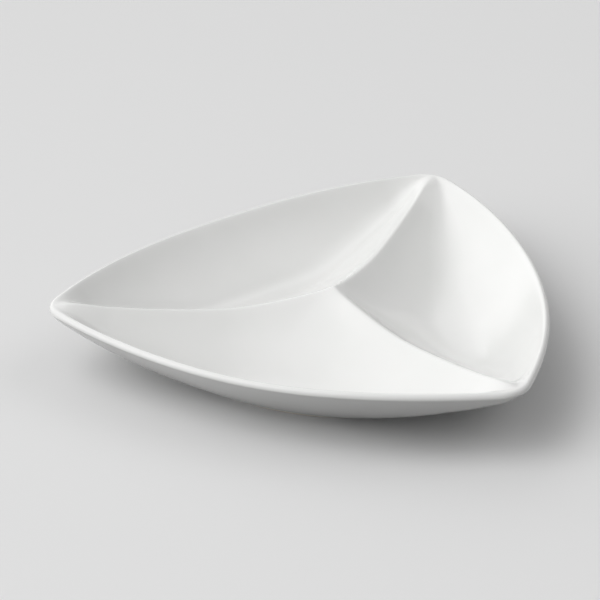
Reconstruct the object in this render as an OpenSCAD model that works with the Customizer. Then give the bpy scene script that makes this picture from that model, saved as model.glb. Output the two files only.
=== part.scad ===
// Three-compartment serving bowl. One glazed casting with a triangular plan: three compartments,
// three crested dividers that meet at a peak, a rounded rim, and an unglazed foot ring under each
// compartment. One corner points along +Y. The origin is on the surface that the bowl stands on,
// under the middle of its length and width, so the peak stands in front of it.

/* [Plan] */
// Distance from the peak to the rim's outer edge at each corner
corner_reach = 174; // [164:1:186]
// Distance from the peak to the rim's outer edge at the middle of each side
side_reach = 128; // [121:0.5:135]
// Radius of each corner at the rim's outer edge
corner_r = 20.5; // [16:0.5:22]

/* [Heights] */
// Height of the rim at the corners
rim_corner_h = 46.25; // [44:0.25:54]
// Height of the rim at the middle of each side
rim_side_h = 43.25; // [41:0.25:52]
// Height of the peak where the three dividers meet
hub_h = 44.75; // [38:0.25:50]
// Height of each divider's crest at its lowest point
crest_low_h = 34.75; // [31:0.25:39]
// Distance from the peak to the lowest point of each crest
crest_low_reach = 66.5; // [55:0.5:85]

/* [Rim] */
// Width of the rim across its rounded top
rim_w = 5; // [4:0.1:6.5]
// Height of the rounding on the rim's outer edge
rim_edge_h = 3; // [2:0.1:4.5]
// Rounding of the rim's top towards the inside
rim_round = 2; // [1:0.1:3]
// Distance from a corner's outer edge to where each crest reaches the rim's height
crest_end_gap = 10; // [8:0.5:22]
// Distance from a corner's outer edge over which the inside deepens to its full depth
corner_fill_reach = 36; // [28:1:44]

/* [Outer walls] */
// Thickness of the fired wall
wall = 4.5; // [3.5:0.1:5.5]
// Extra depth of each outer wall's steep upper part, beyond its lower slope
outer_step = 13.5; // [11:0.5:16]
// Distance over which an outer wall turns from steep to its lower slope
outer_turn = 15.5; // [12:0.5:19]
// Slope of an outer wall's lower part in degrees
outer_slope = 31.5; // [29:0.5:34]

/* [Dividers] */
// Distance from a divider's crest to each side of the divider in plan
divider_half_w = 12; // [11:0.5:14]
// Rounding of the crest
crest_round = 2; // [1:0.1:3.5]
// Rounding of the peak in the middle
hub_round = 4; // [2:0.5:8]
// Extra depth of each flank's steep upper part, beyond its lower slope
flank_step = 6; // [4:0.5:8]
// Distance over which a flank turns from steep to its lower slope
flank_turn = 12; // [9:0.5:16]
// Slope of a flank's lower part in degrees
flank_slope = 28; // [26:0.5:30]

/* [Compartments] */
// Height over which an outer wall and the flanks run into each other along the valley
valley_blend = 14; // [6:1:18]
// Height over which the two flanks of a compartment run into each other
flank_blend = 6; // [3:1:10]
// Height over which the floor runs into the walls round it
floor_blend = 6; // [2:1:9]

/* [Feet] */
// Height of each foot ring, which is also the height of the flat seat above it
foot_h = 3; // [2:0.25:4]
// Length of each foot ring, along its compartment
foot_l = 80; // [64:1:90]
// Width of each foot ring, across its compartment
foot_w = 24; // [20:1:28]
// Thickness of each foot ring
foot_wall = 3.5; // [3:0.5:6]
// Distance from the peak to the middle of each foot ring
foot_reach = 71; // [68:0.5:74]
// Height over which a compartment's flat seat runs into its underside
seat_blend = 4; // [2:0.5:6]

/* [Hidden] */

// The bowl has three equal sectors. A compartment lies between two dividers, each half a sector
// from its middle line.
full_turn = 360;
right_angle = full_turn / 4;
sector = full_turn / 3;
half_sector = sector / 2;

// Directions of the dividers and of the compartments' middle lines, in degrees from +X
back_divider_angle = right_angle;
left_divider_angle = back_divider_angle + sector;
right_divider_angle = back_divider_angle - sector;
left_side_angle = back_divider_angle + half_sector;
right_side_angle = back_divider_angle - half_sector;
front_side_angle = left_side_angle + sector;

// Steps of the plan: along a side as far as a compartment's tip, from there to the corner's
// arc, and along half of that arc
side_steps = 14;
tip_steps = 2;
corner_steps = 4;
half_steps = side_steps + tip_steps + corner_steps;
// Steps across a compartment, across half a divider, and from a compartment's edge to its foot
across_steps = 14;
flank_steps = 6;
foot_steps = 8;
// Steps on the rim: its inner half, its outer edge and its underside
rim_inner_steps = 4;
rim_edge_steps = 4;
rim_under_steps = 3;

// Powers that bend a crest's two parts, from the peak to the lowest point and on to the rim
crest_inner_power = 1.7;
crest_outer_power = 1.55;
// Power by which the steps across a divider crowd together at its crest
crest_crowding = 1.4;
// Share of its full depth that the inside has right at a corner's outer edge
corner_depth_share = 0.1;
// Part of the depth below the rim over which surfaces may run into each other
blend_share = 0.6;
// Part of the rim's rounding over which they do so at least
least_blend_share = 0.1;
// Part of the way from a compartment's edge to its foot ring at which the last bevel starts
foot_bevel_share = 0.93;

glaze_colour = "white";
shade_colour = "gainsboro";
rim_colour = "snow";
biscuit_colour = "antiquewhite";

// Outline: each side is one large arc, and each corner one small arc tangent to two sides
corner_arm = corner_reach - corner_r;
side_arm = side_reach - corner_r;
side_back = (corner_arm * corner_arm - side_arm * side_arm)
    / (2 * (side_arm - corner_arm * cos(half_sector)));
side_r = side_back + side_reach;
to_corner = [cos(half_sector), sin(half_sector)];
corner_centre = corner_arm * to_corner;
side_half_angle = atan2(corner_centre.y, side_back + corner_centre.x);
// A compartment's tip is where the divider's side meets the rim's inner edge
tip_angle = half_sector
    - asin((divider_half_w + side_back * sin(half_sector)) / (side_r - rim_w));
crest_end_reach = corner_reach - crest_end_gap;
// The bowl's length runs from the front side to the back corner, and the origin halves it
peak_y = (side_reach - corner_reach) / 2;
// The floor of a compartment lies one wall above the flat seat of its foot ring
floor_h = foot_h + wall;
// The underside of an outer wall keeps the wall's thickness on its lower slope
outer_under_step = outer_step - rim_edge_h + wall / cos(outer_slope)
    - tan(outer_slope) * (rim_w / 2 + rim_round);

function mix(a, b, share) = a + (b - a) * share;

// Distance or height d with its sharp start rounded off over r
function rounded(d, r) = sqrt(d * d + r * r) - r;

// The larger of two heights, with the crease between them filled over the given height
function blended(a, b, blend) = max(a, b) + blend / 4 * pow(max(0, 1 - abs(a - b) / blend), 2);

// How far a wall has fallen at a distance d from its top, and how fast it falls there
function fall(d, step, turn, slope) = tan(slope) * d + step * (1 - exp(-d / turn));
function fall_rate(d, step, turn, slope) = tan(slope) + step / turn * exp(-d / turn);

// In a sector's own frame +X is the compartment's middle line, and the other half is mirrored.
// Point of the outline at an angle seen from the arc's centre, moved inwards by inset
function outline_point(angle, inset) =
    angle <= side_half_angle
    ? [-side_back, 0] + (side_r - inset) * [cos(angle), sin(angle)]
    : corner_centre + (corner_r - inset) * [cos(angle), sin(angle)];

// Distance of a point inwards from the outline
function inset_at(p) =
    atan2(abs(p.y), p.x + side_back) <= side_half_angle
    ? side_r - norm(p + [side_back, 0])
    : corner_r - norm([p.x, abs(p.y)] - corner_centre);

// Height of the rim's top in a point's direction
function rim_height(p) =
    mix(rim_corner_h, rim_side_h, (1 + cos(full_turn / sector * atan2(p.y, p.x))) / 2);

// Height of a crest at a distance r from the centre
function crest_height(r) =
    r < crest_low_reach
    ? crest_low_h + (hub_h - flank_blend / 4 - crest_low_h)
        * pow(1 - rounded(max(0, r), hub_round) / rounded(crest_low_reach, hub_round), crest_inner_power)
    : crest_low_h + (rim_corner_h - crest_low_h)
        * pow(min(1, (r - crest_low_reach) / (crest_end_reach - crest_low_reach)), crest_outer_power);

// Vertical thickness of the wall under a flank at a distance d from its crest
function flank_thickness(d) =
    wall * sqrt(1 + pow(fall_rate(rounded(d, crest_round), flank_step, flank_turn, flank_slope)
        * d / sqrt(d * d + crest_round * crest_round), 2));

// Height of the flank that falls from the divider at positive y, or with side -1 at negative y.
// With under = 1 it is the flank's underside.
function flank_height(p, side, under) =
    let (along = p.x * cos(half_sector) + side * p.y * sin(half_sector))
    let (beside = p.x * sin(half_sector) - side * p.y * cos(half_sector))
    let (d = along > 0 ? beside : norm(p))
    crest_height(along) - fall(rounded(d, crest_round), flank_step, flank_turn, flank_slope)
        - under * flank_thickness(d);

// Height of the outer wall on the inside, from the rim's top down
function outer_height(p) =
    rim_height(p) - fall(rounded(max(0, inset_at(p) - rim_w / 2), rim_round),
        outer_step, outer_turn, outer_slope);

// Height of the outer wall's underside, from the rim's edge down
function outer_under_height(p) =
    rim_height(p) - rim_edge_h - fall(inset_at(p), outer_under_step, outer_turn, outer_slope);

// Flanks and outer wall run into each other less where both are close to the rim's height
function joined(flanks, outer, rim_top) =
    blended(flanks, outer, max(least_blend_share * rim_edge_h, min(valley_blend,
        blend_share * (rim_top - (flanks + outer) / 2))));

// Share of the full depth below the rim at a point, which is small close to a corner
function depth_share(p) =
    let (far = min(1, norm([p.x, abs(p.y)] - corner_reach * to_corner) / corner_fill_reach))
    mix(corner_depth_share, 1, far * far * (3 - 2 * far));

// Height of the glazed inside, with the compartment's floor where the walls would dip below it
function top_height(p) =
    let (rim_top = rim_height(p))
    let (walls = joined(
        blended(flank_height(p, 1, 0), flank_height(p, -1, 0), flank_blend),
        outer_height(p), rim_top))
    blended(floor_h, mix(rim_top, walls, depth_share(p)), floor_blend);

// Height of the underside, with the flat seat of the foot ring where it would dip below that
function under_height(p) = blended(foot_h, joined(
    blended(flank_height(p, 1, 1), flank_height(p, -1, 1), flank_blend),
    outer_under_height(p), rim_height(p)), seat_blend);

// Point of the glazed top and point of the underside above and below a place in plan
function top_point(p) = [p.x, p.y, top_height(p)];
function under_point(p) = [p.x, p.y, under_height(p)];

// Angles of the plan's stations over half a side, from its middle to the corner
half_angles = concat(
    [for (i = [0 : side_steps]) tip_angle * i / side_steps],
    [for (i = [1 : tip_steps]) mix(tip_angle, side_half_angle, i / tip_steps)],
    [for (i = [1 : corner_steps]) mix(side_half_angle, half_sector, i / corner_steps)]);

function mirrored(p, side) = [p.x, side * p.y];
function turned(p, angle) = [
    p.x * cos(angle) - p.y * sin(angle), p.x * sin(angle) + p.y * cos(angle), p.z];

// Place on the rim by its distance inwards and its station along a side, whose number is
// negative on the side's other half
function rim_place(station, inset) =
    mirrored(outline_point(half_angles[abs(station)], inset), sign(station));
function inner_edge(station) = rim_place(station, rim_w);
function crest_edge(station) = [abs(inner_edge(station).y) / tan(half_sector), inner_edge(station).y];
function divider_edge(station) =
    abs(station) < side_steps
    ? crest_edge(station) + [divider_half_w / sin(half_sector), 0]
    : inner_edge(station);

// Steps from 0 to 1 that crowd together at both ends
function eased(step, steps) = (1 - cos(2 * right_angle * step / steps)) / 2;

// Faces between two rows of points, each row given by its first index and its count.
// A row of one point is a tip.
function strip_faces(first, count, next, next_count) =
    count == next_count
    ? [for (i = [0 : count - 2])
        each [[first + i, next + i, next + i + 1], [first + i, next + i + 1, first + i + 1]]]
    : count > next_count
    ? [for (i = [0 : count - 2]) [first + i, next, first + i + 1]]
    : [for (i = [0 : next_count - 2]) [first, next + i, next + i + 1]];

// Faces between two closed loops of points, each given as a list of indices
function band_faces(loop, next) =
    [for (i = [0 : len(loop) - 1]) let (j = (i + 1) % len(loop))
        each [[loop[i], loop[j], next[j]], [loop[i], next[j], next[i]]]];

function flipped(faces) = [for (face = faces) [face[2], face[1], face[0]]];
function numbers(first, count) = [for (i = [0 : count - 1]) first + i];

// One compartment's shell, in its sector's frame. The top is a grid, and the underside is a set
// of loops that run from the shell's edge to the flat seat of its foot ring.
module compartment_shell() {
    row = across_steps + 1;
    rows = 2 * side_steps - 1;
    top_count = rows * row + 2;
    loop_count = 4 * side_steps;
    grid = [for (station = [1 - side_steps : side_steps - 1]) for (i = [0 : across_steps])
        mix(divider_edge(station), inner_edge(station), eased(i, across_steps))];
    first_tip = rows * row;
    last_tip = first_tip + 1;
    edge = concat(
        [first_tip], [for (i = [0 : rows - 1]) i * row + across_steps],
        [last_tip], [for (i = [rows - 1 : -1 : 0]) i * row]);
    plan = concat(grid, [inner_edge(-side_steps), inner_edge(side_steps)]);
    loops = [for (k = [0 : foot_steps]) for (i = [0 : loop_count - 1])
        let (seat = foot_point(i, 0), share = foot_bevel_share * k / (foot_steps - 1))
        k < foot_steps
        ? under_point(mix(plan[edge[i]], seat, share))
        : [seat.x, seat.y, foot_h]];
    polyhedron(
        points = concat([for (p = plan) top_point(p)], loops),
        faces = concat(
            strip_faces(first_tip, 1, 0, row),
            [for (i = [0 : rows - 2]) each strip_faces(i * row, row, (i + 1) * row, row)],
            strip_faces((rows - 1) * row, row, last_tip, 1),
            band_faces(edge, numbers(top_count, loop_count)),
            [for (k = [0 : foot_steps - 1]) each band_faces(
                numbers(top_count + k * loop_count, loop_count),
                numbers(top_count + (k + 1) * loop_count, loop_count))],
            [numbers(top_count + foot_steps * loop_count, loop_count)]));
}

// Point of a foot ring's outline in its sector's frame, moved inwards by inset
function foot_point(step, inset) =
    let (angle = full_turn * step / (4 * side_steps) - right_angle)
    [foot_reach + (foot_w / 2 - inset) * cos(angle), (foot_l / 2 - inset) * sin(angle)];

// One divider, in a frame with +X along its crest: two flanks from the peak to the corner
module crested_divider() {
    row = 2 * flank_steps + 1;
    crest_places = [for (station = [0 : half_steps - 1]) for (i = [-flank_steps : flank_steps])
        [mix(crest_edge(station), divider_edge(station), pow(abs(i) / flank_steps, crest_crowding)),
            -sign(i)]];
    tip = inner_edge(half_steps);
    places = concat(crest_places, [[tip, 0]]);
    count = len(places);
    rows = half_steps;
    function placed(place, p) =
        let (q = turned(p, -half_sector)) [q.x, place[1] * abs(q.y), q.z];
    top = concat(
        [for (i = [0 : rows - 2]) each strip_faces(i * row, row, (i + 1) * row, row)],
        strip_faces((rows - 1) * row, row, rows * row, 1));
    // The edge runs along one flank to the corner and back along the other
    edge = concat(
        [for (i = [row - 1 : -1 : 0]) i], [for (i = [1 : rows - 1]) i * row], [rows * row],
        [for (i = [rows - 1 : -1 : 1]) i * row + row - 1]);
    polyhedron(
        points = concat(
            [for (place = places) placed(place, top_point(place[0]))],
            [for (place = places) placed(place, under_point(place[0]))]),
        faces = concat(
            top,
            [for (face = flipped(top)) face + [count, count, count]],
            flipped(band_faces(edge, [for (i = edge) i + count]))));
}

// The rim: one section, from the inner edge over the top, round the outer edge and back
// along the underside, repeated around the whole outline
module rim_loop() {
    sides = [front_side_angle, right_side_angle, left_side_angle];
    inner_insets = [for (i = [0 : rim_inner_steps - 1]) mix(rim_w, rim_w / 2, i / rim_inner_steps)];
    edge_angles = [for (i = [0 : rim_edge_steps]) right_angle * i / rim_edge_steps];
    under_insets = [for (i = [1 : rim_under_steps]) rim_w * i / rim_under_steps];
    section_count = len(inner_insets) + len(edge_angles) + len(under_insets);
    station_count = 2 * half_steps * len(sides);
    function station_section(station) = concat(
        [for (inset = inner_insets) top_point(rim_place(station, inset))],
        [for (a = edge_angles) let (p = rim_place(station, rim_w / 2 * (1 - sin(a))))
            [p.x, p.y, rim_height(p) - rim_edge_h * (1 - cos(a))]],
        [for (inset = under_insets) under_point(rim_place(station, inset))]);
    points = [for (side = sides) for (station = [-half_steps : half_steps - 1])
        for (p = station_section(station)) turned(p, side)];
    polyhedron(points = points, faces = [for (s = [0 : station_count - 1])
        each flipped(band_faces(
            numbers(s * section_count, section_count),
            numbers((s + 1) % station_count * section_count, section_count)))]);
}

// One foot ring, in its sector's frame
module oval_ring() {
    steps = 4 * side_steps;
    linear_extrude(foot_h) difference() {
        polygon([for (i = [0 : steps - 1]) foot_point(i, 0)]);
        polygon([for (i = [0 : steps - 1]) foot_point(i, foot_wall)]);
    }
}

// Sets a piece of the bowl, which is drawn round the peak, at its direction from there
module round_peak(angle) translate([0, peak_y, 0]) rotate(angle) children();

module left_compartment() color(glaze_colour) round_peak(left_side_angle) compartment_shell();
module right_compartment() color(glaze_colour) round_peak(right_side_angle) compartment_shell();
module front_compartment() color(glaze_colour) round_peak(front_side_angle) compartment_shell();
module left_divider() color(shade_colour) round_peak(left_divider_angle) crested_divider();
module right_divider() color(shade_colour) round_peak(right_divider_angle) crested_divider();
module back_divider() color(shade_colour) round_peak(back_divider_angle) crested_divider();
module rim() color(rim_colour) round_peak(0) rim_loop();
module left_foot_ring() color(biscuit_colour) round_peak(left_side_angle) oval_ring();
module right_foot_ring() color(biscuit_colour) round_peak(right_side_angle) oval_ring();
module front_foot_ring() color(biscuit_colour) round_peak(front_side_angle) oval_ring();

left_compartment();
right_compartment();
front_compartment();
left_divider();
right_divider();
back_divider();
rim();
left_foot_ring();
right_foot_ring();
front_foot_ring();
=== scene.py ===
"""Looks of a divided serving bowl in white glazed porcelain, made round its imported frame.

The bowl is one casting with a rounded triangular plan. Its parts are modelled as fine meshes from
the same driving sizes as the frame: three compartments, three crested dividers, the rim and three
foot rings. Lengths are in metres and angles in degrees, unless a name says otherwise.
"""

import logging
import math
from collections.abc import Callable
from dataclasses import dataclass, field
from enum import Enum

import bpy
import numpy as np
from mathutils import Matrix, Vector


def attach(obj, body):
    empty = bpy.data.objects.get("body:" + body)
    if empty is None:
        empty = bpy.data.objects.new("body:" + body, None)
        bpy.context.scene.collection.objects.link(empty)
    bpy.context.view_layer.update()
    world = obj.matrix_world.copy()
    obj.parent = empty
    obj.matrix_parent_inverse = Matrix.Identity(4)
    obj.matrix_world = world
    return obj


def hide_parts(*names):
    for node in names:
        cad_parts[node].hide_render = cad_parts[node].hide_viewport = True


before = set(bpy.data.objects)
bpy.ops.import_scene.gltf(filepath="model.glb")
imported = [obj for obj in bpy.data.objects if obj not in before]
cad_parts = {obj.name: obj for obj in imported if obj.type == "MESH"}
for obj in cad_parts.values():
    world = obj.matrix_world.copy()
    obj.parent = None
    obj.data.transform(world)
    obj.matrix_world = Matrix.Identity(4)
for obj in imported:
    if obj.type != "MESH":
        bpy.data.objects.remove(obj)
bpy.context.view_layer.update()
LOG = logging.getLogger("divided_bowl")

# Least values that are divided by, so that a collapsed face divides nothing by zero.
LEAST_LENGTH = 1e-12
LEAST_AREA = 1e-18
# Share of a blend's height that fills the crease right where two surfaces cross.
CREASE_FILL = 0.25

Points = np.ndarray
Quads = np.ndarray


class Slot(Enum):
    """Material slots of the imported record."""

    GLAZE = "glaze"
    BISCUIT = "biscuit"


class Heading(Enum):
    """Direction in which a part of the bowl lies from the peak, in degrees from +X."""

    BACK_DIVIDER = 90
    LEFT_COMPARTMENT = 150
    LEFT_DIVIDER = 210
    FRONT_COMPARTMENT = 270
    RIGHT_DIVIDER = 330
    RIGHT_COMPARTMENT = 30


def mix(start: Points | float, end: Points | float, share: Points | float) -> Points | float:
    """Value a share of the way from start to end."""
    return start + (end - start) * share


def rounded(distance: Points, radius: float) -> Points:
    """Distance with its sharp start rounded off over a radius."""
    return np.sqrt(distance * distance + radius * radius) - radius


def blended(first: Points, second: Points | float, blend: Points | float) -> Points:
    """Larger of two heights, with the crease between them filled.

    Args:
        first: Heights of one surface.
        second: Heights of the other surface.
        blend: Height over which the two run into each other.

    Returns:
        The joined heights.
    """
    overlap = np.maximum(0.0, 1 - np.abs(first - second) / blend)
    return np.maximum(first, second) + blend * CREASE_FILL * overlap**2


def smooth(share: Points) -> Points:
    """Share from 0 to 1 that starts and ends gently."""
    return share * share * (3 - 2 * share)


def eased(steps: int) -> Points:
    """Shares from 0 to 1 that crowd together at both ends."""
    return (1 - np.cos(np.linspace(0, math.pi, steps + 1))) / 2


@dataclass(frozen=True)
class WallProfile:
    """Way in which a wall falls from its top: a steep upper part and a lower slope."""

    step: float
    turn: float
    slope: float

    def fall(self, distance: Points) -> Points:
        """How far the wall has fallen at a distance from its top."""
        return self.rise * distance + self.step * (1 - np.exp(-distance / self.turn))

    def rate(self, distance: Points) -> Points:
        """How fast the wall falls at a distance from its top."""
        return self.rise + self.step / self.turn * np.exp(-distance / self.turn)

    @property
    def rise(self) -> float:
        """Rise of the lower slope for each unit of distance."""
        return math.tan(math.radians(self.slope))


@dataclass(frozen=True)
class BowlForm:
    """Driving sizes of the casting, and the places and heights that follow from them.

    Points are given in a sector's own frame: +X is the middle line of a compartment, and the peak
    is the origin. The two halves of a sector mirror each other.
    """

    corner_reach: float = 0.174
    side_reach: float = 0.128
    corner_radius: float = 0.0205
    rim_corner_height: float = 0.04625
    rim_side_height: float = 0.04325
    hub_height: float = 0.04475
    crest_low_height: float = 0.03475
    crest_low_reach: float = 0.0665
    rim_width: float = 0.005
    rim_edge_height: float = 0.003
    rim_round: float = 0.002
    crest_end_gap: float = 0.010
    corner_fill_reach: float = 0.036
    corner_depth_share: float = 0.1
    wall: float = 0.0045
    outer: WallProfile = WallProfile(step=0.0135, turn=0.0155, slope=31.5)
    flank: WallProfile = WallProfile(step=0.006, turn=0.012, slope=28.0)
    divider_half_width: float = 0.012
    crest_round: float = 0.002
    hub_round: float = 0.004
    valley_blend: float = 0.014
    flank_blend: float = 0.006
    floor_blend: float = 0.006
    seat_blend: float = 0.004
    foot_height: float = 0.003
    foot_length: float = 0.080
    foot_width: float = 0.024
    foot_wall: float = 0.0035
    foot_reach: float = 0.071
    crest_inner_power: float = 1.7
    crest_outer_power: float = 1.55
    blend_share: float = 0.6
    least_blend_share: float = 0.1
    half_sector: float = math.radians(60)

    @property
    def peak(self) -> Vector:
        """Place of the peak in plan."""
        return Vector((0.0, (self.side_reach - self.corner_reach) / 2, 0.0))

    @property
    def corner_arm(self) -> float:
        """Distance from the peak to the centre of a corner's arc."""
        return self.corner_reach - self.corner_radius

    @property
    def side_back(self) -> float:
        """Distance behind the peak at which the centre of a side's arc lies."""
        side_arm = self.side_reach - self.corner_radius
        spread = 2 * (side_arm - self.corner_arm * math.cos(self.half_sector))
        return (self.corner_arm**2 - side_arm**2) / spread

    @property
    def side_radius(self) -> float:
        """Radius of a side's arc at the outer edge."""
        return self.side_back + self.side_reach

    def corner_point(self, reach: float) -> tuple[float, float]:
        """Plan point towards the corner at a distance from the peak."""
        return reach * math.cos(self.half_sector), reach * math.sin(self.half_sector)

    @property
    def corner_centre(self) -> tuple[float, float]:
        """Centre of a corner's arc."""
        return self.corner_point(self.corner_arm)

    @property
    def side_half_angle(self) -> float:
        """Angle at which a side's arc runs into a corner's arc."""
        x, y = self.corner_centre
        return math.atan2(y, self.side_back + x)

    @property
    def tip_angle(self) -> float:
        """Angle at which a divider's side meets the rim's inner edge."""
        across = self.divider_half_width + self.side_back * math.sin(self.half_sector)
        return self.half_sector - math.asin(across / (self.side_radius - self.rim_width))

    @property
    def floor_height(self) -> float:
        """Height of a compartment's floor, one wall above the flat seat of its foot ring."""
        return self.foot_height + self.wall

    def outline_point(self, angle: Points, inset: Points | float) -> Points:
        """Points of the outline moved inwards.

        Args:
            angle: Angles seen from the centre of the arc, negative on the sector's other half.
            inset: Distance inwards from the outer edge.

        Returns:
            Plan points, one row each.
        """
        centre_x, centre_y = self.corner_centre
        on_side = np.abs(angle) <= self.side_half_angle
        radius = np.where(on_side, self.side_radius, self.corner_radius) - inset
        x = np.where(on_side, -self.side_back, centre_x) + radius * np.cos(angle)
        y = np.where(on_side, 0.0, np.sign(angle) * centre_y) + radius * np.sin(angle)
        return np.stack([x, y], axis=-1)

    def inset_at(self, plan: Points) -> Points:
        """Distance of plan points inwards from the outer edge."""
        x, y = plan[..., 0], np.abs(plan[..., 1])
        centre_x, centre_y = self.corner_centre
        on_side = np.arctan2(y, x + self.side_back) <= self.side_half_angle
        beside = self.side_radius - np.hypot(x + self.side_back, y)
        in_corner = self.corner_radius - np.hypot(x - centre_x, y - centre_y)
        return np.where(on_side, beside, in_corner)

    def rim_height(self, plan: Points) -> Points:
        """Height of the rim's top in the direction of plan points."""
        waves = math.pi / self.half_sector
        wave = (1 + np.cos(waves * np.arctan2(plan[..., 1], plan[..., 0]))) / 2
        return mix(self.rim_corner_height, self.rim_side_height, wave)

    def crest_height(self, reach: Points) -> Points:
        """Height of a crest at distances from the peak."""
        low, low_reach = self.crest_low_height, self.crest_low_reach
        whole = rounded(np.asarray(low_reach), self.hub_round)
        share = 1 - rounded(np.maximum(0.0, reach), self.hub_round) / whole
        top = self.hub_height - self.flank_blend * CREASE_FILL
        inner = low + (top - low) * np.maximum(0.0, share) ** self.crest_inner_power
        end = self.corner_reach - self.crest_end_gap
        climb = np.clip((reach - low_reach) / (end - low_reach), 0.0, 1.0)
        outer = low + (self.rim_corner_height - low) * climb**self.crest_outer_power
        return np.where(reach < low_reach, inner, outer)

    def flank_height(self, plan: Points, side: int, under: bool) -> Points:
        """Height of a flank at plan points.

        Args:
            plan: Plan points.
            side: 1 for the flank that falls from the divider at positive Y, or -1 for the other.
            under: Whether the underside is meant.

        Returns:
            Heights of the flank.
        """
        x, y = plan[..., 0], plan[..., 1]
        cos, sin = math.cos(self.half_sector), math.sin(self.half_sector)
        along = x * cos + side * y * sin
        beside = x * sin - side * y * cos
        distance = np.where(along > 0, beside, np.hypot(x, y))
        reach = rounded(distance, self.crest_round)
        height = self.crest_height(along) - self.flank.fall(reach)
        if not under:
            return height
        lean = distance / np.hypot(distance, self.crest_round)
        return height - self.wall * np.hypot(1.0, self.flank.rate(reach) * lean)

    def both_flanks(self, plan: Points, under: bool) -> Points:
        """Height of a compartment's two flanks, run into each other."""
        first, second = (self.flank_height(plan, side, under) for side in (1, -1))
        return blended(first, second, self.flank_blend)

    def outer_height(self, plan: Points) -> Points:
        """Height of the outer wall's inside."""
        depth = np.maximum(0.0, self.inset_at(plan) - self.rim_width / 2)
        return self.rim_height(plan) - self.outer.fall(rounded(depth, self.rim_round))

    def outer_under_height(self, plan: Points) -> Points:
        """Height of the outer wall's underside."""
        lean = math.radians(self.outer.slope)
        lost = math.tan(lean) * (self.rim_width / 2 + self.rim_round)
        step = self.outer.step - self.rim_edge_height + self.wall / math.cos(lean) - lost
        profile = WallProfile(step, self.outer.turn, self.outer.slope)
        return self.rim_height(plan) - self.rim_edge_height - profile.fall(self.inset_at(plan))

    def joined(self, flanks: Points, outer: Points, rim_top: Points) -> Points:
        """Flanks and outer wall run into each other, less so close to the rim's height."""
        room = self.blend_share * (rim_top - (flanks + outer) / 2)
        least = self.least_blend_share * self.rim_edge_height
        return blended(flanks, outer, np.maximum(least, np.minimum(self.valley_blend, room)))

    def depth_share(self, plan: Points) -> Points:
        """Share of the full depth below the rim at plan points, which is small close to a corner."""
        corner_x, corner_y = self.corner_point(self.corner_reach)
        away = np.hypot(plan[..., 0] - corner_x, np.abs(plan[..., 1]) - corner_y)
        far = np.minimum(1.0, away / self.corner_fill_reach)
        return mix(self.corner_depth_share, 1.0, smooth(far))

    def top_height(self, plan: Points) -> Points:
        """Height of the glazed inside at plan points."""
        flanks = self.both_flanks(plan, under=False)
        rim_top = self.rim_height(plan)
        walls = self.joined(flanks, self.outer_height(plan), rim_top)
        inside = mix(rim_top, walls, self.depth_share(plan))
        return blended(inside, self.floor_height, self.floor_blend)

    def under_height(self, plan: Points) -> Points:
        """Height of the underside at plan points."""
        flanks = self.both_flanks(plan, under=True)
        walls = self.joined(flanks, self.outer_under_height(plan), self.rim_height(plan))
        return blended(walls, self.foot_height, self.seat_blend)

    def top_points(self, plan: Points) -> Points:
        """Points of the glazed inside above places in plan."""
        return np.concatenate([plan, self.top_height(plan)[..., None]], axis=-1)

    def under_points(self, plan: Points) -> Points:
        """Points of the underside below places in plan."""
        return np.concatenate([plan, self.under_height(plan)[..., None]], axis=-1)


@dataclass(frozen=True)
class Stations:
    """Stations along the rim over half a side, finer than on the frame."""

    form: BowlForm
    side_steps: int = 56
    tip_steps: int = 8
    corner_steps: int = 18
    angle_slack: float = 1e-9

    @property
    def half_steps(self) -> int:
        """Number of steps from the middle of a side to the corner."""
        return self.side_steps + self.tip_steps + self.corner_steps

    def half_angles(self) -> Points:
        """Angles of the stations from a side's middle to the corner."""
        form = self.form
        side = np.linspace(0, form.tip_angle, self.side_steps + 1)
        tip = np.linspace(form.tip_angle, form.side_half_angle, self.tip_steps + 1)[1:]
        corner = np.linspace(form.side_half_angle, form.half_sector, self.corner_steps + 1)[1:]
        return np.concatenate([side, tip, corner])

    def angles(self, last: int) -> Points:
        """Angles of the stations on both halves of a side, as far as the last one."""
        half = self.half_angles()[: last + 1]
        return np.concatenate([-half[:0:-1], half])

    def inner_edge(self, angles: Points) -> Points:
        """Plan points of the rim's inner edge."""
        return self.form.outline_point(angles, self.form.rim_width)

    def crest_edge(self, inner: Points) -> Points:
        """Plan points on the crest at the stations of the rim's inner edge."""
        along = np.abs(inner[:, 1]) / math.tan(self.form.half_sector)
        return np.stack([along, inner[:, 1]], axis=-1)

    def divider_edge(self, angles: Points) -> Points:
        """Plan points of the divider's side, which ends on the rim's inner edge."""
        inner = self.inner_edge(angles)
        beside = self.form.divider_half_width / math.sin(self.form.half_sector)
        edge = self.crest_edge(inner) + np.array([beside, 0.0])
        before_tip = (np.abs(angles) < self.form.tip_angle * (1 - self.angle_slack))[:, None]
        return np.where(before_tip, edge, inner)


def grid_quads(rows: int, columns: int, closed_rows: bool = False, closed_columns: bool = False) -> Quads:
    """Faces of a grid of points that is numbered row by row.

    Args:
        rows: Number of rows.
        columns: Number of points in a row.
        closed_rows: Whether the last row joins the first.
        closed_columns: Whether each row is a closed loop.

    Returns:
        Four point numbers for each face.
    """
    row = np.arange(rows if closed_rows else rows - 1)[:, None]
    column = np.arange(columns if closed_columns else columns - 1)[None, :]
    next_row = (row + 1) % rows
    next_column = (column + 1) % columns
    corners = [
        row * columns + column,
        next_row * columns + column,
        next_row * columns + next_column,
        row * columns + next_column,
    ]
    return np.stack([c + 0 * row + 0 * column for c in corners], axis=-1).reshape(-1, 4)


@dataclass
class Patch:
    """Sheet of faces: part of the glazed skin, or a seam between neighbouring parts."""

    points: Points
    quads: Quads
    is_skin: bool


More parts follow.
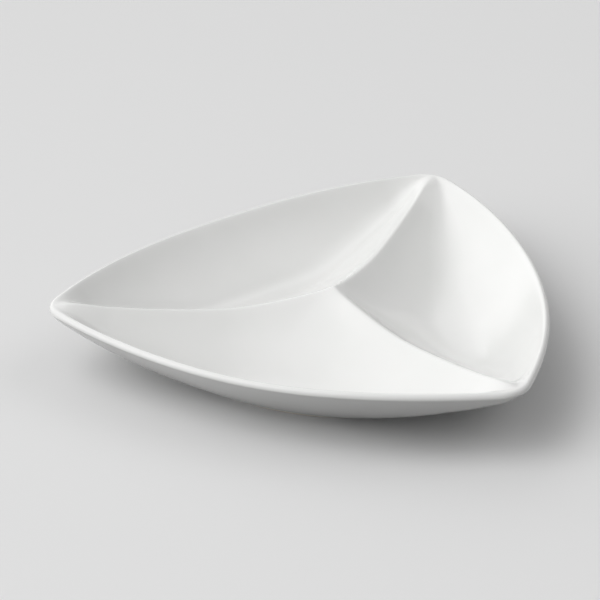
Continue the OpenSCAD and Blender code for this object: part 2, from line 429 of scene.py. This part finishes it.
@dataclass
class FaceBlock:
    """Faces with the same number of corners, and whether each is glazed skin."""

    corners: Quads
    skin: np.ndarray

    def normals(self, points: Points) -> Points:
        """Unit normal of every face."""
        place = points[self.corners]
        across = np.cross(place[:, 2] - place[:, 0], place[:, -1] - place[:, 1])
        is_triangle = self.corners.shape[1] == 3
        if is_triangle:
            across = np.cross(place[:, 1] - place[:, 0], place[:, 2] - place[:, 0])
        return across / np.maximum(np.linalg.norm(across, axis=1), LEAST_AREA)[:, None]

    def angles(self, points: Points) -> Points:
        """Angle at every corner of every face."""
        place = points[self.corners]
        ahead = np.roll(place, -1, axis=1) - place
        behind = np.roll(place, 1, axis=1) - place
        lengths = np.linalg.norm(ahead, axis=2) * np.linalg.norm(behind, axis=2)
        cosines = np.einsum("ijk,ijk->ij", ahead, behind) / np.maximum(lengths, LEAST_AREA)
        return np.arccos(np.clip(cosines, -1, 1))


class Casting:
    """Closed mesh of one part of the bowl, joined from patches at their common points.

    Attributes:
        WELD: Distance in metres within which two points are one.
        KEY_SHIFT: Offset of the weld's steps, in steps, which keeps their edges off round sizes.
        FIT: Scale that keeps the finely curved skin inside the frame's coarser one.
    """

    WELD = 2e-6
    KEY_SHIFT = 0.37
    FIT = 0.9992

    def __init__(self, name: str) -> None:
        """Starts with no patch."""
        self.name = name
        self.patches: list[Patch] = []
        self.points: Points = np.zeros((0, 3))
        self.blocks: list[FaceBlock] = []

    def add(self, points: Points, quads: Quads, is_skin: bool = True, flip: bool = False) -> None:
        """Adds a patch.

        Args:
            points: Grid of points, or rows of points.
            quads: Faces as point numbers.
            is_skin: Whether the faces are glazed skin and not a seam.
            flip: Whether the faces are turned over.
        """
        order = quads[:, ::-1] if flip else quads
        self.patches.append(Patch(points.reshape(-1, 3), order, is_skin))

    @classmethod
    def keys(cls, points: Points) -> Points:
        """Whole numbers that are the same for points at one place."""
        return np.floor(points / cls.WELD + cls.KEY_SHIFT).astype(np.int64)

    def weld(self) -> None:
        """Joins the patches at common points and drops faces that have collapsed."""
        starts = np.cumsum([0] + [len(patch.points) for patch in self.patches])
        loose = np.concatenate([patch.points for patch in self.patches])
        _, first, number = np.unique(self.keys(loose), axis=0, return_index=True, return_inverse=True)
        self.points = loose[first]
        quads = np.concatenate([patch.quads + start for patch, start in zip(self.patches, starts)])
        skin = np.concatenate([np.full(len(patch.quads), patch.is_skin) for patch in self.patches])
        corners = number.reshape(-1)[quads]
        doubled = corners == np.roll(corners, 1, axis=1)
        whole = ~doubled.any(axis=1)
        three = doubled.sum(axis=1) == 1
        triangles = corners[three][~doubled[three]].reshape(-1, 3)
        self.blocks = [FaceBlock(corners[whole], skin[whole]), FaceBlock(triangles, skin[three])]

    def place(self, heading: float, centre: Vector) -> None:
        """Turns the part to its heading round the peak, moves it there and fits it to the frame."""
        angle = math.radians(heading)
        cos, sin = math.cos(angle), math.sin(angle)
        turn = np.array([[cos, sin, 0.0], [-sin, cos, 0.0], [0.0, 0.0, 1.0]])
        self.points = (self.points @ turn + np.array(centre)) * self.FIT

    def faces(self) -> list[list[int]]:
        """Point numbers of every face."""
        return [face for block in self.blocks for face in block.corners.tolist()]


class GlazedSkin:
    """Normals of the whole glazed surface, so that the parts show no seam where they meet."""

    CREASE = math.cos(math.radians(50))

    def __init__(self, parts: list[Casting]) -> None:
        """Adds up the skin's normals at every place on the bowl.

        Args:
            parts: The bowl's parts.
        """
        keys, pulls = [], []
        for part in parts:
            for block in part.blocks:
                weights = (block.angles(part.points) * block.skin[:, None])[:, :, None]
                pulls.append((weights * block.normals(part.points)[:, None]).reshape(-1, 3))
                keys.append(Casting.keys(part.points[block.corners.reshape(-1)]))
        self.places, number = np.unique(np.concatenate(keys), axis=0, return_inverse=True)
        self.pulls = np.zeros((len(self.places), 3))
        np.add.at(self.pulls, number.reshape(-1), np.concatenate(pulls))
        self.pulls /= np.maximum(np.linalg.norm(self.pulls, axis=1), LEAST_LENGTH)[:, None]
        self.numbers = iter(np.split(number.reshape(-1), np.cumsum([len(k) for k in keys])[:-1]))

    def normals(self, part: Casting) -> Points:
        """Normal at every face corner of the next part, in the order in which they were given."""
        result = []
        for block in part.blocks:
            flat = np.repeat(block.normals(part.points), block.corners.shape[1], axis=0)
            smooth = self.pulls[next(self.numbers)]
            on_skin = np.repeat(block.skin, block.corners.shape[1])
            keep = on_skin & (np.einsum("ij,ij->i", smooth, flat) > self.CREASE)
            result.append(np.where(keep[:, None], smooth, flat))
        return np.concatenate(result)


@dataclass(frozen=True)
class Grain:
    """Soft noise: its spots to a metre, and the finer levels within it."""

    scale: float
    detail: float


@dataclass(frozen=True)
class Relief:
    """Fine relief: the share of it that shows, and its depth in metres."""

    strength: float
    depth: float


@dataclass(frozen=True)
class Glaze:
    """Glossy white glaze over porcelain, a touch greyer where it pools."""

    name: str = "white_glaze"
    colour: tuple[float, float, float] = (0.86, 0.86, 0.85)
    pooled: tuple[float, float, float] = (0.82, 0.825, 0.81)
    roughness: float = 0.12
    ior: float = 1.5
    clouds: Grain = Grain(scale=14, detail=3)
    pooling: tuple[float, float] = (0.35, 0.75)
    waves: Grain = Grain(scale=70, detail=1)
    wave_relief: Relief = Relief(strength=0.10, depth=0.0002)
    peel: Grain = Grain(scale=420, detail=2)
    peel_relief: Relief = Relief(strength=0.06, depth=0.00004)
    haze: Grain = Grain(scale=45, detail=2)
    hazing: tuple[float, float] = (0.3, 0.7)
    haze_shares: tuple[float, float] = (0.85, 1.2)

    def material(self) -> bpy.types.Material:
        """Builds the material."""
        nodes = NodeSheet(bpy.data.materials.new(self.name))
        place = nodes.object_place()
        pools = nodes.ranged(nodes.noise(place, self.clouds), *self.pooling)
        tint = nodes.mixed_colour(pools, self.colour, self.pooled)
        surface = nodes.bump(nodes.noise(place, self.waves), self.wave_relief)
        surface = nodes.bump(nodes.noise(place, self.peel), self.peel_relief, below=surface)
        haze = nodes.ranged(nodes.noise(place, self.haze), *self.hazing)
        shine = nodes.scaled(haze, *(self.roughness * share for share in self.haze_shares))
        shader = nodes.principled(tint, shine, surface)
        shader.inputs["IOR"].default_value = self.ior
        return nodes.finished(shader)


@dataclass(frozen=True)
class Biscuit:
    """Glazed ring whose standing face is bare fired porcelain."""

    name: str = "bare_foot"
    glaze: Glaze = Glaze()
    colour: tuple[float, float, float] = (0.74, 0.70, 0.63)
    speck_share: float = 0.93
    roughness: float = 0.8
    line_height: float = 0.0011
    line_waver: float = 0.0004
    line_blur: float = 0.00012
    waver: Grain = Grain(scale=120, detail=2)
    grain: Grain = Grain(scale=1900, detail=4)
    relief: Relief = Relief(strength=0.25, depth=0.00006)

    def material(self) -> bpy.types.Material:
        """Builds the material."""
        nodes = NodeSheet(bpy.data.materials.new(self.name))
        place = nodes.object_place()
        waver = nodes.scaled(nodes.noise(place, self.waver), -self.line_waver, self.line_waver)
        level = nodes.added(nodes.height(place), waver)
        cover = nodes.ranged(level, self.line_height - self.line_blur, self.line_height + self.line_blur)
        grain = nodes.noise(place, self.grain)
        specks = tuple(self.speck_share * channel for channel in self.colour)
        tint = nodes.mixed_colour(cover, nodes.mixed_colour(grain, self.colour, specks), self.glaze.colour)
        shine = nodes.scaled(cover, self.roughness, self.glaze.roughness)
        return nodes.finished(nodes.principled(tint, shine, nodes.bump(grain, self.relief)))


class NodeSheet:
    """Short way to write the nodes of a material or of the world.

    Attributes:
        COLOUR_LOW, COLOUR_HIGH: Places of a Mix node's two colour inputs.
        COLOUR_RESULT: Place of its colour output.
    """

    COLOUR_LOW = 6
    COLOUR_HIGH = 7
    COLOUR_RESULT = 2

    def __init__(self, made: bpy.types.Material | bpy.types.World) -> None:
        """Clears the nodes of a new material or world."""
        self.made = made
        self.made.use_nodes = True
        self.tree = self.made.node_tree
        self.tree.nodes.clear()

    def node(self, kind: str, **settings: object) -> bpy.types.Node:
        """Adds a node and sets its properties."""
        made = self.tree.nodes.new(kind)
        for key, value in settings.items():
            setattr(made, key, value)
        return made

    def wire(self, source: bpy.types.NodeSocket, target: bpy.types.NodeSocket) -> None:
        """Links one socket to another."""
        self.tree.links.new(source, target)

    def object_place(self) -> bpy.types.NodeSocket:
        """Place on the object, in metres."""
        return self.node("ShaderNodeTexCoord").outputs["Object"]

    def height(self, place: bpy.types.NodeSocket) -> bpy.types.NodeSocket:
        """Height of a place."""
        split = self.node("ShaderNodeSeparateXYZ")
        self.wire(place, split.inputs[0])
        return split.outputs["Z"]

    def noise(self, place: bpy.types.NodeSocket, grain: Grain) -> bpy.types.NodeSocket:
        """Soft noise at a place."""
        made = self.node("ShaderNodeTexNoise")
        made.inputs["Scale"].default_value = grain.scale
        made.inputs["Detail"].default_value = grain.detail
        self.wire(place, made.inputs["Vector"])
        return made.outputs["Fac"]

    def mapped(
        self, value: bpy.types.NodeSocket, limits: tuple[float, float, float, float], course: str = "LINEAR"
    ) -> bpy.types.NodeSocket:
        """Maps a value from one range to another, given as low, high, new low and new high."""
        made = self.node("ShaderNodeMapRange", interpolation_type=course)
        for socket, limit in zip(("From Min", "From Max", "To Min", "To Max"), limits):
            made.inputs[socket].default_value = limit
        self.wire(value, made.inputs["Value"])
        return made.outputs["Result"]

    def ranged(self, value: bpy.types.NodeSocket, low: float, high: float) -> bpy.types.NodeSocket:
        """Share from 0 at the low value to 1 at the high one."""
        return self.mapped(value, (low, high, 0.0, 1.0))

    def scaled(self, share: bpy.types.NodeSocket, low: float, high: float) -> bpy.types.NodeSocket:
        """Value from low to high by a share from 0 to 1."""
        return self.mapped(share, (0.0, 1.0, low, high))

    def combined(
        self, first: bpy.types.NodeSocket, second: bpy.types.NodeSocket, operation: str
    ) -> bpy.types.NodeSocket:
        """Result of a Math node's operation on two values."""
        made = self.node("ShaderNodeMath", operation=operation)
        self.wire(first, made.inputs[0])
        self.wire(second, made.inputs[1])
        return made.outputs[0]

    def added(self, first: bpy.types.NodeSocket, second: bpy.types.NodeSocket) -> bpy.types.NodeSocket:
        """Sum of two values."""
        return self.combined(first, second, "ADD")

    def seen(self) -> bpy.types.NodeSocket:
        """1 for what the eye sees, directly or by gloss or glass, and 0 for light that is sent back."""
        path = self.node("ShaderNodeLightPath")
        direct = self.combined(path.outputs["Is Camera Ray"], path.outputs["Is Glossy Ray"], "MAXIMUM")
        return self.combined(direct, path.outputs["Is Transmission Ray"], "MAXIMUM")

    def mixed_colour(
        self,
        share: bpy.types.NodeSocket,
        low: tuple[float, ...] | bpy.types.NodeSocket,
        high: tuple[float, ...],
    ) -> bpy.types.NodeSocket:
        """Colour from low, which may come from other nodes, to high by a share."""
        made = self.node("ShaderNodeMix", data_type="RGBA")
        low_input, high_input = made.inputs[self.COLOUR_LOW], made.inputs[self.COLOUR_HIGH]
        self.wire(share, made.inputs["Factor"])
        if isinstance(low, tuple):
            low_input.default_value = (*low, 1.0)
        else:
            self.wire(low, low_input)
        high_input.default_value = (*high, 1.0)
        return made.outputs[self.COLOUR_RESULT]

    def bump(
        self, height: bpy.types.NodeSocket, relief: Relief, below: bpy.types.NodeSocket | None = None
    ) -> bpy.types.NodeSocket:
        """Fine relief on the surface.

        Args:
            height: Height of the relief from 0 to 1.
            relief: How much of it shows and how deep it is.
            below: Normal of a coarser relief under it.

        Returns:
            The bumped normal.
        """
        made = self.node("ShaderNodeBump")
        made.inputs["Strength"].default_value = relief.strength
        made.inputs["Distance"].default_value = relief.depth
        self.wire(height, made.inputs["Height"])
        if below is not None:
            self.wire(below, made.inputs["Normal"])
        return made.outputs["Normal"]

    def principled(
        self, colour: bpy.types.NodeSocket, roughness: bpy.types.NodeSocket, normal: bpy.types.NodeSocket
    ) -> bpy.types.Node:
        """Surface shader with a colour, a roughness and a normal."""
        made = self.node("ShaderNodeBsdfPrincipled")
        self.wire(colour, made.inputs["Base Color"])
        self.wire(roughness, made.inputs["Roughness"])
        self.wire(normal, made.inputs["Normal"])
        return made

    def finished(self, shader: bpy.types.Node) -> bpy.types.Material | bpy.types.World:
        """Material or world with the shader on its surface."""
        is_world = isinstance(self.made, bpy.types.World)
        output = self.node("ShaderNodeOutputWorld" if is_world else "ShaderNodeOutputMaterial")
        self.wire(shader.outputs[0], output.inputs["Surface"])
        return self.made


@dataclass
class BowlPart:
    """One named part of the bowl, which takes the place of the frame's node of that name."""

    node: str
    heading: float
    form: BowlForm
    stations: Stations
    slot: Slot = Slot.GLAZE

    def casting(self) -> Casting:
        """Builds the part's closed mesh in its place on the bowl."""
        part = Casting(self.node)
        self.shape(part)
        part.weld()
        part.place(self.heading, self.form.peak)
        return part

    def shape(self, part: Casting) -> None:
        """Adds the part's patches, in the frame of its sector."""
        raise NotImplementedError

    def dress(self, part: Casting, normals: Points, finish: bpy.types.Material) -> bpy.types.Object:
        """Makes the object and hands it to the frame.

        Args:
            part: The part's mesh.
            normals: A normal for each corner of its faces.
            finish: Its material.

        Returns:
            The object.
        """
        mesh = bpy.data.meshes.new(self.node)
        mesh.from_pydata(part.points.tolist(), [], part.faces())
        mesh.shade_smooth()
        mesh.normals_split_custom_set(normals.tolist())
        mesh.materials.append(finish)
        made = bpy.data.objects.new(f"{self.node}_glazed", mesh)
        bpy.context.scene.collection.objects.link(made)
        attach(made, "root")
        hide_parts(self.node)
        return made


@dataclass
class Compartment(BowlPart):
    """Trough between two dividers, with its outer wall, flanks, floor and underside."""

    across_steps: int = 56
    foot_steps: int = 40
    seat_steps: int = 10
    bevel_share: float = 0.97
    crowding: float = 0.7

    def seat_loop(self, count: int, share: float) -> Points:
        """Loop of plan points on the seat's oval, or a share of the way out from its centre."""
        angle = 2 * math.pi * np.arange(count) / count - math.pi / 2
        x = self.form.foot_reach + share * self.form.foot_width / 2 * np.cos(angle)
        return np.stack([x, share * self.form.foot_length / 2 * np.sin(angle)], axis=-1)

    def shape(self, part: Casting) -> None:
        """Adds the glazed inside, the underside, the seat and the seams round the edge."""
        angles = self.stations.angles(self.stations.side_steps)
        inner = self.stations.inner_edge(angles)[:, None]
        side = self.stations.divider_edge(angles)[:, None]
        across = mix(np.linspace(0, 1, self.across_steps + 1), eased(self.across_steps), self.crowding)
        plan = mix(side, inner, across[None, :, None])
        rows, columns = plan.shape[:2]
        part.add(self.form.top_points(plan), grid_quads(rows, columns), flip=True)
        edge = np.concatenate([plan[:, -1], plan[-2:0:-1, 0]])
        seat = self.seat_loop(len(edge), 1.0)
        shares = np.linspace(0, self.bevel_share, self.foot_steps)[:, None, None]
        under = self.form.under_points(mix(edge[None], seat[None], shares))
        seam = np.stack([self.form.top_points(edge), under[0]])
        part.add(seam, grid_quads(2, len(edge), closed_columns=True), is_skin=False)
        flat = np.stack([self.seat_loop(len(edge), s) for s in np.linspace(1, 0, self.seat_steps + 1)])
        level = np.full((*flat.shape[:2], 1), self.form.foot_height)
        loops = np.concatenate([under, np.concatenate([flat, level], axis=-1)])
        part.add(loops, grid_quads(len(loops), len(edge), closed_columns=True))


@dataclass
class Divider(BowlPart):
    """Crested ridge from the peak to a corner."""

    flank_steps: int = 26
    crowding: float = 1.4

    def shape(self, part: Casting) -> None:
        """Adds both flanks above and below, and the seams along the ridge's sides."""
        angles = self.stations.half_angles()
        inner = self.stations.inner_edge(angles)
        crest = self.stations.crest_edge(inner)[:, None]
        side = self.stations.divider_edge(angles)[:, None]
        shares = np.linspace(0, 1, self.flank_steps + 1) ** self.crowding
        half = mix(crest, side, shares[None, :, None])
        top = self.both_halves(self.form.top_points(half))
        under = self.both_halves(self.form.under_points(half))
        rows, columns = top.shape[:2]
        quads = grid_quads(rows, columns)
        part.add(top, quads, flip=True)
        part.add(under, quads)
        seam = np.stack([self.edge_of(sheet) for sheet in (top, under)])
        part.add(seam, grid_quads(2, seam.shape[1], closed_columns=True), is_skin=False, flip=True)

    @staticmethod
    def edge_of(sheet: Points) -> Points:
        """Points round the edge of a grid, once round."""
        return np.concatenate([sheet[:, 0], sheet[-1, 1:], sheet[-2::-1, -1], sheet[0, -2:0:-1]])

    def both_halves(self, half: Points) -> Points:
        """Turns one half to the crest's own frame and adds its mirror image."""
        cos, sin = math.cos(self.form.half_sector), math.sin(self.form.half_sector)
        x = half[..., 0] * cos + half[..., 1] * sin
        y = half[..., 1] * cos - half[..., 0] * sin
        near = np.stack([x, -np.abs(y), half[..., 2]], axis=-1)
        far = np.stack([x, np.abs(y), half[..., 2]], axis=-1)
        return np.concatenate([far[:, :0:-1], near], axis=1)


@dataclass
class Rim(BowlPart):
    """Rounded lip round the whole outline."""

    inner_steps: int = 8
    edge_steps: int = 14
    under_steps: int = 8
    sides: int = 3

    def shape(self, part: Casting) -> None:
        """Adds the lip's skin and its seam with the parts inside it."""
        half = self.stations.half_angles()
        angles = np.concatenate([-half[::-1], half[1:-1]])
        loops = [self.section(angles) for _ in range(self.sides)]
        turn = 2 * self.form.half_sector
        points = np.concatenate([self.turned_points(s, n * turn) for n, s in enumerate(loops)])
        stations, count = points.shape[:2]
        part.add(points, grid_quads(stations, count, closed_rows=True), flip=True)
        seam = np.stack([points[:, -1], points[:, 0]], axis=1)
        part.add(seam, grid_quads(stations, 2, closed_rows=True), is_skin=False, flip=True)

    def section(self, angles: Points) -> Points:
        """Section of the lip at stations, from the inner edge over the top to the underside."""
        form = self.form
        middle = form.rim_width / 2
        rows = []
        for inset in np.linspace(form.rim_width, middle, self.inner_steps, endpoint=False):
            rows.append(form.top_points(form.outline_point(angles, inset)))
        for turn in np.linspace(0, math.pi / 2, self.edge_steps + 1):
            plan = form.outline_point(angles, middle * (1 - math.sin(turn)))
            height = form.rim_height(plan) - form.rim_edge_height * (1 - math.cos(turn))
            rows.append(np.concatenate([plan, height[:, None]], axis=-1))
        for inset in np.linspace(0, form.rim_width, self.under_steps + 1)[1:]:
            rows.append(form.under_points(form.outline_point(angles, inset)))
        return np.stack(rows, axis=1)

    @staticmethod
    def turned_points(points: Points, angle: float) -> Points:
        """Points turned about the peak's axis."""
        x = points[..., 0] * math.cos(angle) - points[..., 1] * math.sin(angle)
        y = points[..., 0] * math.sin(angle) + points[..., 1] * math.cos(angle)
        return np.stack([x, y, points[..., 2]], axis=-1)


@dataclass
class FootRing(BowlPart):
    """Oval ring that a compartment stands on, with softened edges and a small fillet."""

    slot: Slot = Slot.BISCUIT
    loop_steps: int = 224
    edge_round: float = 0.0007
    fillet: float = 0.0010
    embed: float = 0.0001
    round_steps: int = 5

    def loop(self, inset: float, height: float | None) -> Points:
        """Loop of the ring at a distance inwards, at a height or just inside the underside."""
        angle = 2 * math.pi * np.arange(self.loop_steps) / self.loop_steps - math.pi / 2
        x = self.form.foot_reach + (self.form.foot_width / 2 - inset) * np.cos(angle)
        plan = np.stack([x, (self.form.foot_length / 2 - inset) * np.sin(angle)], axis=-1)
        if height is None:
            return self.form.under_points(plan) + np.array([0.0, 0.0, self.embed])
        return np.concatenate([plan, np.full((len(plan), 1), height)], axis=-1)

    def shape(self, part: Casting) -> None:
        """Adds the ring's section from the outer fillet under the ring to the inner one."""
        outer = self.side_section(0.0, 1)
        inner = self.side_section(self.form.foot_wall, -1)[::-1]
        rows = outer + inner
        ring = np.stack(rows)
        part.add(ring, grid_quads(len(rows), self.loop_steps, closed_columns=True))
        top = np.stack([ring[-1], ring[0]])
        part.add(top, grid_quads(2, self.loop_steps, closed_columns=True), is_skin=False)

    def side_section(self, inset: float, outward: int) -> list[Points]:
        """Loops down one side of the ring.

        Args:
            inset: Distance of that side inwards from the ring's outline.
            outward: 1 for the outer side, or -1 for the inner side.

        Returns:
            Loops from the fillet's edge to the standing face.
        """
        seat, edge = self.form.foot_height, self.edge_round
        top = self.loop(inset - outward * self.fillet, None)
        corner = self.loop(inset, seat)
        side = self.loop(inset, seat - self.fillet)
        loops = []
        for share in np.linspace(0, 1, self.round_steps + 1):
            loops.append((1 - share) ** 2 * top + 2 * share * (1 - share) * corner + share**2 * side)
        for turn in np.linspace(0, math.pi / 2, self.round_steps + 1):
            inward = outward * edge * (1 - math.cos(turn))
            loops.append(self.loop(inset + inward, edge * (1 - math.sin(turn))))
        return loops


def direction(azimuth: float, elevation: float) -> Vector:
    """Unit vector at an azimuth from +X and an elevation above the table."""
    across = math.cos(math.radians(elevation))
    turn = math.radians(azimuth)
    return Vector((across * math.cos(turn), across * math.sin(turn), math.sin(math.radians(elevation))))


@dataclass(frozen=True)
class Lamp:
    """Large soft box that shines at the bowl and isn't mirrored in its glaze."""

    name: str
    azimuth: float
    elevation: float
    distance: float
    width: float
    height: float
    power: float

    def place(self, centre: Vector) -> None:
        """Sets up the lamp round a centre."""
        light = bpy.data.lights.new(self.name, "AREA")
        light.shape = "RECTANGLE"
        light.size = self.width
        light.size_y = self.height
        light.energy = self.power
        made = bpy.data.objects.new(self.name, light)
        made.visible_glossy = False
        away = direction(self.azimuth, self.elevation)
        made.location = centre + away * self.distance
        made.rotation_euler = away.to_track_quat("Z", "Y").to_euler()
        bpy.context.scene.collection.objects.link(made)


@dataclass(frozen=True)
class SkyPatch:
    """Part of the sky that is brighter towards its middle and fades out without an edge."""

    azimuth: float
    elevation: float
    spread: float
    strength: float

    def glow(self, nodes: NodeSheet) -> bpy.types.NodeSocket:
        """Strength of the patch in the direction of a ray."""
        near = nodes.node("ShaderNodeVectorMath", operation="DOT_PRODUCT")
        nodes.wire(nodes.node("ShaderNodeTexCoord").outputs["Generated"], near.inputs[0])
        near.inputs[1].default_value = direction(self.azimuth, self.elevation)
        limits = (math.cos(math.radians(self.spread)), 1.0, 0.0, self.strength)
        return nodes.mapped(near.outputs["Value"], limits, "SMOOTHSTEP")


@dataclass(frozen=True)
class PhotoView:
    """Camera that sees the bowl as the photograph does."""

    azimuth: float = 293.234
    elevation: float = 28.115
    distance: float = 1.6725
    lens_mm: float = 161.93
    sensor_mm: float = 36.0
    roll: float = 1.203
    yaw: float = -0.722
    pitch: float = 1.088

    def place(self, centre: Vector) -> None:
        """Makes the scene's camera, aimed at a centre and then turned a little."""
        camera = bpy.data.cameras.new("photo_view")
        camera.lens = self.lens_mm
        camera.sensor_width = self.sensor_mm
        made = bpy.data.objects.new("photo_view", camera)
        back = direction(self.azimuth, self.elevation)
        right = Vector((0.0, 0.0, 1.0)).cross(back).normalized()
        up = back.cross(right)
        aim = Matrix((right, up, back)).transposed()
        for angle, axis in ((-self.yaw, "Y"), (self.pitch, "X"), (-self.roll, "Z")):
            aim = aim @ Matrix.Rotation(math.radians(angle), 3, axis)
        made.matrix_world = Matrix.Translation(centre + back * self.distance) @ aim.to_4x4()
        bpy.context.scene.collection.objects.link(made)
        bpy.context.scene.camera = made


@dataclass
class Studio:
    """Pale floor, soft light and camera."""

    centre: Vector
    floor_size: float = 8.0
    seen_grey: float = 0.80
    bounce_grey: float = 0.30
    sky: float = 0.34
    patches: tuple[SkyPatch, ...] = (
        SkyPatch(azimuth=225, elevation=60, spread=42, strength=0.8),
        SkyPatch(azimuth=225, elevation=30, spread=42, strength=1.9),
        SkyPatch(azimuth=30, elevation=46, spread=28, strength=1.2),
        SkyPatch(azimuth=140, elevation=32, spread=42, strength=0.95),
        SkyPatch(azimuth=215, elevation=8, spread=32, strength=0.8),
    )
    key: Lamp = Lamp("key_box", azimuth=225, elevation=55, distance=2.4, width=1.6, height=1.6, power=10)

    def build(self) -> None:
        """Sets up the floor, the sky, the lamp and the camera."""
        self.floor()
        self.surroundings()
        self.key.place(self.centre)
        PhotoView().place(self.centre)
        bpy.context.scene.view_settings.view_transform = "Standard"

    def floor(self) -> None:
        """Lays the floor, pale to the eye and duller to the light that it sends back."""
        half = self.floor_size / 2
        mesh = bpy.data.meshes.new("studio_floor")
        corners = [(-half, -half, 0.0), (half, -half, 0.0), (half, half, 0.0), (-half, half, 0.0)]
        mesh.from_pydata(corners, [], [(0, 1, 2, 3)])
        nodes = NodeSheet(bpy.data.materials.new("studio_floor"))
        shader = nodes.node("ShaderNodeBsdfDiffuse")
        nodes.wire(nodes.scaled(nodes.seen(), self.bounce_grey, self.seen_grey), shader.inputs["Color"])
        mesh.materials.append(nodes.finished(shader))
        made = bpy.data.objects.new("studio_floor", mesh)
        bpy.context.scene.collection.objects.link(made)

    def surroundings(self) -> None:
        """Lights the scene from all round, and shows a pale backdrop to the eye."""
        nodes = NodeSheet(bpy.data.worlds.new("studio"))
        strength = nodes.scaled(nodes.seen(), self.sky, self.seen_grey)
        camera = nodes.node("ShaderNodeLightPath").outputs["Is Camera Ray"]
        unseen = nodes.scaled(camera, 1.0, 0.0)
        for patch in self.patches:
            strength = nodes.added(strength, nodes.combined(patch.glow(nodes), unseen, "MULTIPLY"))
        background = nodes.node("ShaderNodeBackground")
        nodes.wire(strength, background.inputs["Strength"])
        bpy.context.scene.world = nodes.finished(background)


@dataclass
class DividedBowl:
    """The whole bowl: its parts, their common skin and their finishes."""

    form: BowlForm = field(default_factory=BowlForm)

    def parts(self) -> list[BowlPart]:
        """Lists the bowl's parts."""
        stations = Stations(self.form)
        makers: list[tuple[Callable[..., BowlPart], str, Heading]] = [
            (Compartment, "left_compartment", Heading.LEFT_COMPARTMENT),
            (Compartment, "right_compartment", Heading.RIGHT_COMPARTMENT),
            (Compartment, "front_compartment", Heading.FRONT_COMPARTMENT),
            (Divider, "left_divider", Heading.LEFT_DIVIDER),
            (Divider, "right_divider", Heading.RIGHT_DIVIDER),
            (Divider, "back_divider", Heading.BACK_DIVIDER),
            (Rim, "rim", Heading.RIGHT_COMPARTMENT),
            (FootRing, "left_foot_ring", Heading.LEFT_COMPARTMENT),
            (FootRing, "right_foot_ring", Heading.RIGHT_COMPARTMENT),
            (FootRing, "front_foot_ring", Heading.FRONT_COMPARTMENT),
        ]
        return [make(node, heading.value, self.form, stations) for make, node, heading in makers]

    def build(self) -> None:
        """Builds every part, joins their skins and reports them."""
        finishes = {Slot.GLAZE: Glaze().material(), Slot.BISCUIT: Biscuit().material()}
        parts = self.parts()
        castings = [part.casting() for part in parts]
        skin = GlazedSkin(castings)
        for part, casting in zip(parts, castings):
            made = part.dress(casting, skin.normals(casting), finishes[part.slot])
            LOG.info("%s: %d faces", made.name, len(made.data.polygons))


def main() -> None:
    """Builds the bowl and its studio."""
    logging.basicConfig(level=logging.INFO, format="%(message)s")
    bowl = DividedBowl()
    bowl.build()
    Studio(bowl.form.peak).build()


if __name__ == "__main__":
    main()
